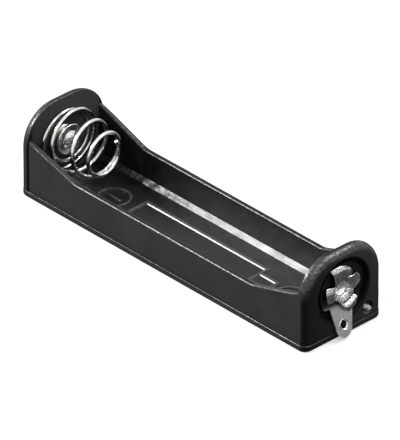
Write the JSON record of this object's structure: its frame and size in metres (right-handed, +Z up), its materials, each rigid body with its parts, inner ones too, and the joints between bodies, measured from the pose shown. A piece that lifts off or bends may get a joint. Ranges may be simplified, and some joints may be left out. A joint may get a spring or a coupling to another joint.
{
  "type": "cylindrical cell holder",
  "caption": "Moulded tray that holds a cylindrical cell between a conical spring contact and a rivet contact, with solder lugs outside the end walls.",
  "frame": {"origin": "middle of the footprint, on the resting face", "axes": "+X along the tray towards the rivet contact (positive end), +Y across it, +Z up"},
  "size_m": [0.0537, 0.0134, 0.0122],
  "materials": {
    "moulding": "black, slightly glossy, grained",
    "spring_wire": "bright nickel plate on steel wire",
    "plated_rivet": "bright nickel plate",
    "plated_lug": "satin plate"
  },
  "bodies": {
    "holder": {"holder_body": "moulding", "spring_rivet": "plated_rivet", "negative_lug": "plated_lug", "button_rivet": "plated_rivet", "positive_lug": "plated_lug"},
    "spring": {"contact_spring": "spring_wire"}
  },
  "joints": [
    {"name": "spring_compress", "type": "slide", "parent": "holder", "child": "spring", "axis": [-1, 0, 0], "range_m": [0, 0.0038], "stiffness_N_per_m": 500, "deforming": ["contact_spring"]}
  ]
}
